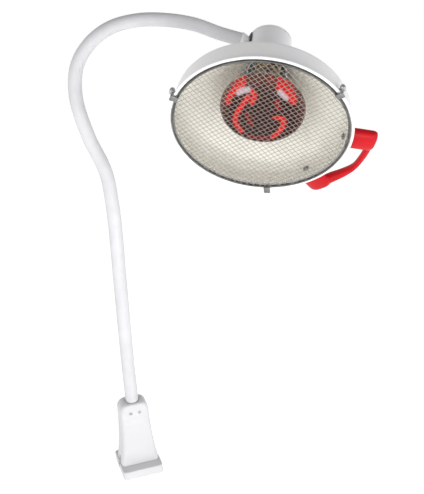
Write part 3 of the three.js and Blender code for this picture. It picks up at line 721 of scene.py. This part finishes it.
def sleeve_stretch(name, line, frames, along):
    """A hollow stretch of the sleeve, with a map of its length and its way round."""
    sides = 40
    turns = [2 * math.pi * k / sides for k in range(sides)]
    vertices, faces = [], []
    for radius in (SLEEVE_RADIUS, SLEEVE_INNER):
        for point, (across, up) in zip(line, frames):
            vertices += [point + (across * math.cos(t) + up * math.sin(t)) * radius for t in turns]
    count = len(line)
    for shell in range(2):
        faces += tube_faces(shell * count * sides, count, sides)
    for ring in (0, count - 1):
        outer, inner = ring * sides, (count + ring) * sides
        for k in range(sides):
            after = (k + 1) % sides
            faces.append([outer + k, outer + after, inner + after, inner + k])
    piece = mesh_piece(name, vertices, faces, VINYL, sharp=60)
    layer = piece.data.uv_layers.new(name="along")
    for corner in piece.data.loops:
        ring, k = divmod(corner.vertex_index % (count * sides), sides)
        layer.data[corner.index].uv = (SLEEVE_RADIUS * turns[k] * MM, along[ring] * MM)
    return piece


def nearest(stations, distance):
    return int(np.argmin(np.abs(stations - distance)))


def flexible_arm():
    """The sleeve in one stretch for each bend, each stretch curving smoothly through its own bend."""
    stations, line = arm_line()
    frames = frames_along(line)
    bends = [FIRST_BEND + BEND_SPACING * k for k in range(BENDS)]
    cuts = [0, *[bend + BEND_SPACING / 2 for bend in bends[:-1]], stations[-1]]
    for k, bend in enumerate(bends):
        stretch = slice(nearest(stations, cuts[k]), nearest(stations, cuts[k + 1]) + 1)
        points, across, along = line[stretch], frames[stretch], stations[stretch]
        if k == 0:
            points = [Vector((0, 0, ARM_START)), *points]
            across, along = [across[0], *across], [ARM_START - LINE_START, *along]
        sleeve = sleeve_stretch(f"arm_sleeve_{k + 1}", points, across, along)
        nodes = [f"gooseneck_sleeve_{k + 1}", f"gooseneck_core_{k + 1}"]
        if k == len(bends) - 1:
            nodes += ["gooseneck_sleeve_7", "gooseneck_core_7"]
        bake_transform(sleeve)
        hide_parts(*nodes)


def inlet_pose():
    """Across the rear housing, along the line that the arm enters on."""
    at = Matrix.Translation((0, 0, INLET["height"]))
    return HEAD @ at @ about("Z", INLET["angle"]) @ about("Y", 90)


def arm_collar():
    outer, narrow, start, end = COLLAR["outer"], COLLAR["narrow"], COLLAR["start"], COLLAR["end"]
    outline = [(narrow, start, 0.4), (outer, end - 3, 4), (outer, end, 1.2), (3.5, end)]
    outline += [(3.5, 20.5, 0.3), (5.8, 20.5, 0.4), (5.8, start)]
    collar = turned("arm_end_collar", filleted(outline), HEAD_WHITE, inlet_pose(), 56, closed=True)
    place(collar, "head", "white_paint", "arm_ferrule")


def inlet_gasket():
    """A pad, curved to the housing, that the arm's collar presses on. It is black as painted shade: it
    stands for the dark line of shade where the arm meets the housing.
    """
    inner, outer, half = GASKET["inner"], GASKET["outer"], GASKET["half"]
    bottom, top = GASKET["bottom"], GASKET["top"]
    reach = math.asin(half / outer)
    rings = []
    for inset, z in ((0.1, bottom), (0, bottom + 0.5), (0, top - 0.5), (0.1, top)):
        turns = [reach * (1 - inset) * (k / 12 - 1) for k in range(25)]
        ring = [(outer * math.cos(t), outer * math.sin(t), z) for t in turns]
        ring += [(inner * math.cos(t), inner * math.sin(t), z) for t in reversed(turns)]
        rings.append(ring)
    pad = stacked("inlet_shade_pad", rings, BLACK, HEAD @ about("Z", INLET["angle"]))
    carve(pad, prism("hole", circle(6.3, 40), 20, 45, BLACK, inlet_pose()), sharp=40)
    place(pad, "head", "black_plastic", "inlet_gasket")


# ------------------------------------------------------------------ lamp head shells


def thickened(line, wall):
    """A closed outline from an outer line and the same line moved inwards by a wall."""
    inner = []
    for i, (radius, height) in enumerate(line):
        before, after = line[max(i - 1, 0)], line[min(i + 1, len(line) - 1)]
        along = (Vector(after) - Vector(before)).normalized()
        inner.append((radius - wall * along.y, height + wall * along.x))
    return [*line, *reversed(inner)]


def shade_shell():
    radius, depth = SHADE["radius"], SHADE["depth"]
    neck, neck_height = SHADE["neck"], SHADE["neck_height"]
    line = [
        (radius, 8.2, 1.5), (radius - 0.6, depth - 4, 9), (radius - 9, depth + 5, 9),
        (73, 78.4, 60), (neck + 6, neck_height - 6, 8), (neck, neck_height + 1),
    ]
    wall = filleted([(radius, 6), *line], closed=False, steps=8)
    outline = thickened(wall, SHADE["wall"])
    # The mouth is rolled outwards into a round bead.
    middle, height, bead = RIM["middle"], RIM["height"], RIM["bead"]
    roll = []
    for step in range(19):
        turn = math.radians(-215 + 250 * step / 18)
        roll.append((middle + bead * math.cos(turn), height + bead * math.sin(turn)))
    outline = [*outline[1:-1], *roll]
    shade = turned("shade_shell", outline, HEAD_WHITE, HEAD, 192, closed=True, sharp=45)
    place(shade, "head", "white_paint", "shade")


def reflector_bowl():
    outer = [(117.4, 4), (117.1, 14, 30), (116.6, 24, 14), (110, 38, 30), (86, 58, 60)]
    outer += [(60, 77, 60), (41, 91, 20), (34, 98)]
    wall = filleted(outer, closed=False, steps=10)
    bowl = turned("reflector_bowl", thickened(wall, 1.0), ALUMINIUM, HEAD, 160, closed=True, sharp=60)
    layer = bowl.data.uv_layers.new(name="rings")
    for corner in bowl.data.loops:
        local = TO_HEAD @ (bowl.data.vertices[corner.vertex_index].co / MM)
        layer.data[corner.index].uv = (local.x * MM, local.y * MM)
    place(bowl, "head", "aluminium", "reflector")


def lamp_housing():
    radius, wall, bottom, top = REAR["radius"], REAR["wall"], REAR["bottom"], REAR["top"]
    flange, wide = SHADE["neck"] - 1.9, REAR["radius"] + REAR["taper"]
    outline = [
        (flange - 1.2, bottom - 6, 0.4), (flange - 1.2, bottom + 4, 0.5), (wide, bottom + 4, 0.8),
        (radius, top - 0.6, 0.5), (radius - wall, top - 0.6, 0.3), (wide - wall, bottom + 2, 0.5),
        (flange - 3, bottom + 2, 0.5), (flange - 3, bottom - 6, 0.4),
    ]
    housing = turned("lamp_housing", filleted(outline), HEAD_WHITE, HEAD, 120, closed=True)
    place(housing, "head", "white_paint", "rear_housing")


def housing_cap():
    radius, bottom, top = REAR["radius"], REAR["top"] + 0.3, REAR["cap"]
    outline = [(0, bottom), (radius, bottom, 0.3), (radius, top - 1.4, 0.8), (radius - 1.6, top - 0.2, 1.2)]
    outline += [(radius - 6, top, 2), (0, top)]
    cap = turned("housing_cap", filleted(outline, closed=False), HEAD_WHITE, HEAD, 120)
    slots = []
    thick = VENT["thick"]
    for row in range(-VENT["rows"], VENT["rows"] + 1):
        half, y = VENT["half"] - VENT["step"] * abs(row), VENT["pitch"] * row
        span = (-half, half, y - thick, y + thick)
        rings = [rounded_rectangle(*span, thick, z, 6) for z in (bottom - 1, top + 3)]
        slots.append(stacked(f"vent_{row}", rings, HEAD_WHITE, HEAD))
    carve(cap, *slots, sharp=30)
    place(cap, "head", "white_paint", "end_cap")


# ------------------------------------------------------------------ grille and latches


def grille_rim():
    outer, inner, front, back = RING["outer"], RING["inner"], RING["front"], RING["back"]
    outline = filleted(
        [(outer, front, 1.9), (outer, back, 1.2), (inner, back, 0.8), (inner, front, 1.9)], steps=7
    )
    rim = turned("grille_rim", outline, RING_STEEL, HEAD, 192, closed=True, sharp=60)
    place(rim, "head", "steel", "grille_ring")


def woven_wires(name, turn, phase, crossing_phase, first_over):
    """One set of the mesh's parallel wires, each weaving over and under the other set."""
    pitch, radius, sides = WIRE["pitch"], WIRE["radius"], 6
    along = Vector((math.cos(turn), math.sin(turn), 0))
    side = Vector((-along.y, along.x, 0))
    up = Vector((0, 0, 1))
    reach = RING["inner"] + 0.9
    vertices, faces = [], []
    count = int(reach / pitch)
    for k in range(-count, count + 1):
        offset = k * pitch + phase
        if abs(offset) > reach - 4:
            continue
        half = math.sqrt(reach ** 2 - offset ** 2)
        stops = [-half, *np.arange(math.ceil(-half / pitch * 4), half / pitch * 4) * pitch / 4, half]
        first = len(vertices)
        for t in stops:
            swing = math.cos(math.pi * ((t - crossing_phase) / pitch + k)) * first_over
            middle = along * t + side * offset + up * (WIRE["height"] + WIRE["weave"] * swing)
            for corner in range(sides):
                around = 2 * math.pi * (corner + 0.5) / sides
                vertices.append(middle + (side * math.cos(around) + up * math.sin(around)) * radius)
        faces += tube_faces(first, len(stops), sides)
        faces.append(list(range(first, first + sides)))
        faces.append(list(range(len(vertices) - sides, len(vertices))))
    return mesh_piece(name, vertices, faces, WIRE_ZINC, HEAD, 75)


def grille_wires():
    """A square mesh. Its two sets cross at right angles and take turns to lie on top."""
    turn = math.radians(WIRE["turn"])
    phase = WIRE["phase"]
    falling = woven_wires("grille_wires_falling", turn, phase, phase, 1)
    rising = woven_wires("grille_wires_rising", turn + math.pi / 2, -phase, phase, -1)
    place(falling, "head", "grille_steel", "grille_mesh")
    place(rising, "head", "grille_steel")


def latch_pose(angle):
    return HEAD @ about("Z", angle) @ Matrix.Translation((LATCH["axis"], 0, 0))


def latch(label, angle):
    at = latch_pose(angle)
    inner = SHADE["radius"] + 1 - LATCH["axis"]
    knob, rod, bottom, top = LATCH["knob"], LATCH["rod"], LATCH["ear_bottom"], LATCH["ear_top"]
    rings = []
    for inset, z in ((0.4, bottom), (0, bottom + 0.4), (0, top - 0.4), (0.4, top)):
        rings.append(rounded_rectangle(inner, knob - inset, inset - knob, knob - inset, 3, z, 8))
    ear = stacked(f"latch_{label}_bracket", rings, LATCH_NICKEL, at)
    carve(ear, prism("bore", circle(rod + 0.15, 32), 0, 20, LATCH_NICKEL, at), sharp=32)
    place(ear, "head", "latch_steel", f"latch_boss_{label}")
    seat = top + 0.3
    foot = LUG["top"] + 0.3
    outline = [(0, foot), (rod, foot, 0.3), (rod, seat), (knob, seat, 0.8), (knob, seat + 3.2, 2)]
    outline += [(knob * 0.84, seat + 5.4, 1.5), (knob * 0.5, seat + 7.2, 1), (0, seat + 7.5)]
    grip = turned(f"latch_{label}_stem", filleted(outline, closed=False), LATCH_NICKEL, at, 40)
    place(grip, f"latch_{label}", "latch_steel", f"latch_knob_{label}")
    half = LUG["half"]
    ring = rounded_rectangle(LUG["inner"], LUG["outer"], -half, half, 1.1, 0, 8)
    shape = [(x, y) for x, y, z in ring]
    lug = prism(f"latch_{label}_tongue", shape, LUG["bottom"], LUG["top"], LUG_STEEL, at)
    place(lug, f"latch_{label}", "latch_steel", f"latch_lug_{label}")


# ------------------------------------------------------------------ bow handle


def handle_pose(side):
    """On the shade's axis, with Z pointing out through one of the handle's feet."""
    turn = about("Z", HANDLE["middle"] + side * HANDLE["half"])
    return HEAD @ turn @ Matrix.Translation((0, 0, HANDLE["height"])) @ about("Y", 90)


def leaned(item):
    """Leans a handle part back as it goes out, square to the shade's tapering wall."""
    for vertex in item.data.vertices:
        local = TO_HEAD @ (vertex.co / MM)
        local.z += HANDLE["lean"] * (local.xy.length - SHADE["radius"])
        vertex.co = (HEAD @ local) * MM
    return item


def handle_foot(side):
    """An oval column on the shade's wall. Its Z runs outwards and its X forwards."""
    seat, tip, power = SHADE["radius"] - 4, HANDLE["tip"], HANDLE_FOOT["squareness"]
    depth, width = HANDLE_FOOT["half_depth"], HANDLE_FOOT["half_width"]
    stops = [(seat, 1), (138, 1), (tip - 8, 0.99), (tip - 4.5, 0.95), (tip - 2, 0.86)]
    stops += [(tip - 0.6, 0.66), (tip, 0.35)]
    rings = []
    for height, share in stops:
        ring = []
        for k in range(56):
            turn = 2 * math.pi * k / 56
            x, y = math.cos(turn), math.sin(turn)
            square = (abs(x) ** power + abs(y) ** power) ** (-1 / power)
            ring.append((depth * x * square * share, width * y * square * share, height))
        rings.append(ring)
    return leaned(stacked(f"foot_{side}", rings, RED, handle_pose(side)))


# The grip: angle, radius of its middle, half its thickness and half its height.
GRIP = [
    (22, 154.6, 5.3, 6.6), (34, 157.7, 4.6, 6.4), (41, 159.2, 4.4, 6.7),
    (47, 157.0, 5.7, 7.6), (54, 153.8, 7.2, 8.5), (60, 153.0, 7.8, 8.8),
]


def handle_grip():
    """The bow between the feet, an oval section that thickens towards the lower foot."""
    count, sides = 44, 28
    angles = [row[0] for row in GRIP]
    rings = []
    for angle in np.linspace(angles[0], angles[-1], count):
        radius, thick, tall = [spline_value(angle, angles, [row[k] for row in GRIP]) for k in (1, 2, 3)]
        turn = math.radians(angle)
        ring = []
        for k in range(sides):
            around = 2 * math.pi * k / sides
            out = radius + thick * math.cos(around)
            up = HANDLE["height"] + HANDLE["grip_rise"] + tall * math.sin(around)
            ring.append((out * math.cos(turn), out * math.sin(turn), up))
        rings.append(ring)
    return leaned(stacked("grip", rings, RED, HEAD))


def spline_value(x, stations, values):
    """A smooth value between stations, by a cubic with the slope that their neighbours give."""
    i = min(max(int(np.searchsorted(stations, x)) - 1, 0), len(stations) - 2)
    slopes = np.gradient(values, stations)
    width = stations[i + 1] - stations[i]
    t = (x - stations[i]) / width
    low = (2 * t ** 3 - 3 * t ** 2 + 1) * values[i] + (t ** 3 - 2 * t ** 2 + t) * width * slopes[i]
    high = (3 * t ** 2 - 2 * t ** 3) * values[i + 1] + (t ** 3 - t ** 2) * width * slopes[i + 1]
    return low + high


def bow_handle():
    """Both feet and the grip, fused and smoothed as one moulding, then seated on the shade."""
    parts = [handle_foot(-1), handle_grip(), handle_foot(1)]
    whole = join("bow_handle", *parts)
    remesh = whole.modifiers.new("fuse", "REMESH")
    remesh.mode = "VOXEL"
    remesh.voxel_size = 0.9 * MM
    smooth = whole.modifiers.new("smooth", "LAPLACIANSMOOTH")
    smooth.iterations = 6
    smooth.lambda_factor = 0.6
    smooth.use_volume_preserve = True
    settle(whole)
    soften(whole, 80)
    inner = SHADE["radius"] + 0.25
    seat = turned(
        "seat", [(90, -20), (inner, -20), (inner, 80), (90, 80)], RED, HEAD, 256, closed=True
    )
    carve(whole, seat, sharp=42)
    whole.data.materials.clear()
    whole.data.materials.append(RED)
    place(whole, "head", "red_plastic", "handle")


def handle_bolts():
    outline = [(0, 112.6), (2.6, 112.6, 0.8), (4.2, 113.9, 0.9), (4.2, 115.2, 0.2)]
    outline += [(2, 115.2), (2, 135, 0.4), (0, 135)]
    outline = filleted(outline, closed=False)
    for side, label in ((-1, "upper"), (1, "lower")):
        at = handle_pose(side)
        bolt = turned(f"handle_bolt_{label}", outline, LUG_STEEL, at, 40)
        carve(bolt, prism("recess", circle(1.5, 6), 110, 113.8, LUG_STEEL, at, 0.1), sharp=30)
        place(bolt, "head", "steel", f"handle_screw_{label}")


# ------------------------------------------------------------------ bulb

BULB = {"radius": 58.8, "front": 13, "widest": 35.4, "shoulder": 19}
BULB_BACK = [(49, 54.5), (41, 65), (32, 77), (23, 90), (16.5, 102), (14.6, 109), (14.2, 114)]

# Painted reflections of lights on the lens as bright red marks: (half width, strength, points across the
# face).
PAINTED_RED_REFLECTIONS = [
    (3.4, 1.0, [(-21, -54), (-34, -43), (-41, -34), (-45, -25)]),
    (4.4, 1.0, [(27, -50), (34, -43), (41, -35), (45, -26)]),
    (3.6, 1.0, [(-9, -47), (-6, -41), (-11, -29)]),
    (3.4, 1.0, [(-15, -40), (-27, -20), (-34, -6), (-37, 6), (-30, 26)]),
    (3.8, 0.95, [(19, -2), (28, 0), (28, 14), (20, 28), (12, 37)]),
    (3.0, 0.35, [(23, -32), (24, -19)]),
    (3.0, 0.30, [(-20, -9), (-14, 11)]),
    (3.0, 0.20, [(14, -57), (21, -58)]),
    (4.0, 0.20, [(-20, 37), (0, 40), (14, 38)]),
]
# Painted highlights on the lens as pale patches, listed the same way.
PAINTED_PALE_HIGHLIGHTS = [
    (3.2, 0.85, [(-28, -43), (-21, -47), (-14, -49)]),
    (2.8, 0.8, [(27, -44), (32, -38), (36, -33)]),
]


def resampled(points, steps):
    return [tuple(p.xy) for p in spline([(x, y, 0) for x, y in points], steps)]


def mark_strength(places, marks):
    """How strongly each place lies on the marks: 1 on their middle, fading past their width."""
    strength = np.zeros(len(places))
    for width, peak, points in marks:
        middle = np.array(resampled(points, 8))
        gap = np.full(len(places), 1e9)
        for a, b in zip(middle, middle[1:]):
            run = b - a
            t = np.clip(((places - a) @ run) / max(run @ run, 1e-9), 0, 1)
            gap = np.minimum(gap, np.linalg.norm(places - a - t[:, None] * run, axis=1))
        fade = np.clip((width * 1.35 - gap) / (width * 0.7), 0, 1)
        strength = np.maximum(strength, peak * fade * fade * (3 - 2 * fade))
    return strength


def add_mark(item, name, values):
    layer = item.data.attributes.new(name, "FLOAT", "POINT")
    layer.data.foreach_set("value", values.astype(np.float32))


def bulb_shoulder(inside, start, end, steps):
    """The line round the bulb's shoulder, at a distance inside the glass."""
    reach = BULB["shoulder"] - inside
    middle = BULB["radius"] - BULB["shoulder"]
    turns = [math.radians(start + (end - start) * k / steps) for k in range(steps + 1)]
    return [(middle + reach * math.sin(t), BULB["widest"] - reach * math.cos(t)) for t in turns]


def bulb_envelope():
    """A domed lens on a silvered body. Its marks carry the painted reflections, the painted highlights and
    a tint towards its edge.
    """
    front, seam, wall = BULB["front"], 112, 1.6
    face = [(0, front), (16, front + 0.7), (31, front + 2.3)]
    dome = resampled([*face, bulb_shoulder(0, 12, 12, 1)[0]], 10)
    outer = [(0, front), *dome[1:-1], *bulb_shoulder(0, 12, seam, 40)]
    inner = [*reversed(bulb_shoulder(wall, 12, seam, 12)), (31, front + 2.3 + wall), (0, front + wall)]
    lens = turned("bulb_lens", [*outer, *inner], RUBY, HEAD, 200, sharp=60)
    places = np.array([(TO_HEAD @ (v.co / MM)).xy for v in lens.data.vertices])
    add_mark(lens, "painted_red_reflections", mark_strength(places, PAINTED_RED_REFLECTIONS))
    add_mark(lens, "painted_pale_highlights", mark_strength(places, PAINTED_PALE_HIGHLIGHTS))
    reach = np.linalg.norm(places, axis=1) / BULB["radius"]
    add_mark(lens, "lens_edge", np.clip((reach - 0.72) / 0.28, 0, 1) ** 2)
    place(lens, "head", "ruby_glass", "bulb_glass")
    back = resampled([bulb_shoulder(0, seam + 1, 135, 1)[k] for k in (0, 1)] + BULB_BACK, 8)
    lining = [(radius - wall, height) for radius, height in reversed(back)]
    body = turned("bulb_body", [*back, *lining], SILVERED, HEAD, 128, closed=True)
    place(body, "head", "ruby_glass")


def bulb_screw_cap():
    """A brass screw cap with its rolled thread."""
    radius, inner = 13.2, 12.2
    outline = [(17, 110.5, 0.4), (17, 116, 0.6), (radius, 118, 0.6)]
    for k in range(5):
        outline += [(radius - 0.9, 119.6 + 3.6 * k, 1.2), (radius, 121.4 + 3.6 * k, 1.2)]
    outline += [(radius - 0.6, 139, 1), (8, 143, 0.8), (4.6, 143), (4.6, 142), (inner - 0.8, 137)]
    outline += [(inner - 0.8, 117.5), (15.9, 115.4), (15.9, 110.5)]
    cap = turned("bulb_screw_cap", filleted(outline), BRASS, HEAD, 64, closed=True)
    place(cap, "head", "brass", "bulb_cap")


# ------------------------------------------------------------------ CAD nodes that show as they are

CARRIED_OVER = [
    (BRIGHT_STEEL, ["arm_spigot", "spigot_collar", "lock_nut", "holder_plate"]),
    (BRIGHT_STEEL, ["bulb_contact", "bulb_filament"]),
    (BRASS, ["lampholder_shell", "lampholder_contact", *[f"terminal_screw_{k}" for k in (1, 2, 3)]]),
    (COPPER, ["supply_wire_1", "supply_wire_2"]),
    (CERAMIC, ["lampholder_body"]),
    (BLACK, ["terminal_block"]),
    (CLEAR, ["bulb_stem"]),
]


def finish_inner_parts():
    for material, names in CARRIED_OVER:
        for name in names:
            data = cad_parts[name].data
            data.materials.clear()
            data.materials.append(material)


# ------------------------------------------------------------------ floor, light and camera


def floor():
    data = bpy.data.meshes.new("floor")
    corners = [(x * FLOOR_HALF, y * FLOOR_HALF, 0) for x, y in ((-1, -1), (1, -1), (1, 1), (-1, 1))]
    data.from_pydata(corners, [], [(0, 1, 2, 3)])
    plane = add_object("floor", data)
    pale = Shader("pale_floor", Specular_IOR_Level=0.1, Roughness=0.9)
    pale.colour(pale.tones(pale.noise(300, 2), (0.90, 0.90, 0.90), (0.88, 0.88, 0.88)))
    pale.surface.inputs["Emission Color"].default_value = (1, 1, 1, 1)
    pale.surface.inputs["Emission Strength"].default_value = 0.56
    data.materials.append(pale.material)


def sky():
    """A pale studio: bright all round the horizon and dimmer overhead."""
    world = bpy.data.worlds.new("studio")
    bpy.context.scene.world = world
    world.use_nodes = True
    nodes, links = world.node_tree.nodes, world.node_tree.links
    background = nodes["Background"]
    direction = nodes.new("ShaderNodeTexCoord").outputs["Generated"]
    parts = nodes.new("ShaderNodeSeparateXYZ")
    links.new(direction, parts.inputs["Vector"])
    ramp = nodes.new("ShaderNodeValToRGB")
    set_stops(ramp, (0.05, 1), (0.85, (0.30, 0.30, 0.31)))
    links.new(parts.outputs["Z"], ramp.inputs["Fac"])
    links.new(ramp.outputs["Color"], background.inputs["Color"])
    background.inputs["Strength"].default_value = 0.95


def area_light(name, at, aim, size, power):
    """A soft light that faces what it is aimed at."""
    data = bpy.data.lights.new(name, "AREA")
    data.shape = "RECTANGLE"
    data.size, data.size_y = size
    data.energy = power
    lamp = add_object(name, data)
    lamp.location = at
    lamp.rotation_euler = (Vector(aim) - Vector(at)).to_track_quat("-Z", "Y").to_euler()


def camera():
    at, aim = Vector(CAMERA["at"]), Vector(CAMERA["aim"])
    roll = math.radians(CAMERA["roll"])
    data = bpy.data.cameras.new("camera")
    data.lens = CAMERA["lens"]
    view = add_object("camera", data)
    forward = (aim - at).normalized()
    right = forward.cross(Vector((0, 0, 1))).normalized()
    up = right.cross(forward)
    tilted_right = right * math.cos(roll) - up * math.sin(roll)
    tilted_up = up * math.cos(roll) + right * math.sin(roll)
    turned_view = Matrix((tilted_right, tilted_up, -forward)).transposed().to_4x4()
    view.matrix_world = Matrix.Translation(at) @ turned_view
    bpy.context.scene.camera = view


def studio():
    floor()
    sky()
    for light in LIGHTS:
        area_light(*light)
    bpy.context.scene.view_settings.view_transform = "Standard"
    camera()


# ------------------------------------------------------------------ the lamp

base_foot()
base_cover()
arm_bush()
for screw_side, screw_name in ((-1, "left"), (1, "right")):
    set_screw(screw_side, screw_name)
    fixing_screw(screw_side, screw_name)
cord_gland()
flexible_arm()
arm_collar()
inlet_gasket()
shade_shell()
reflector_bowl()
lamp_housing()
housing_cap()
grille_rim()
grille_wires()
for place_name, place_angle in LATCH_ANGLES.items():
    latch(place_name, place_angle)
bow_handle()
handle_bolts()
bulb_envelope()
bulb_screw_cap()
finish_inner_parts()
studio()
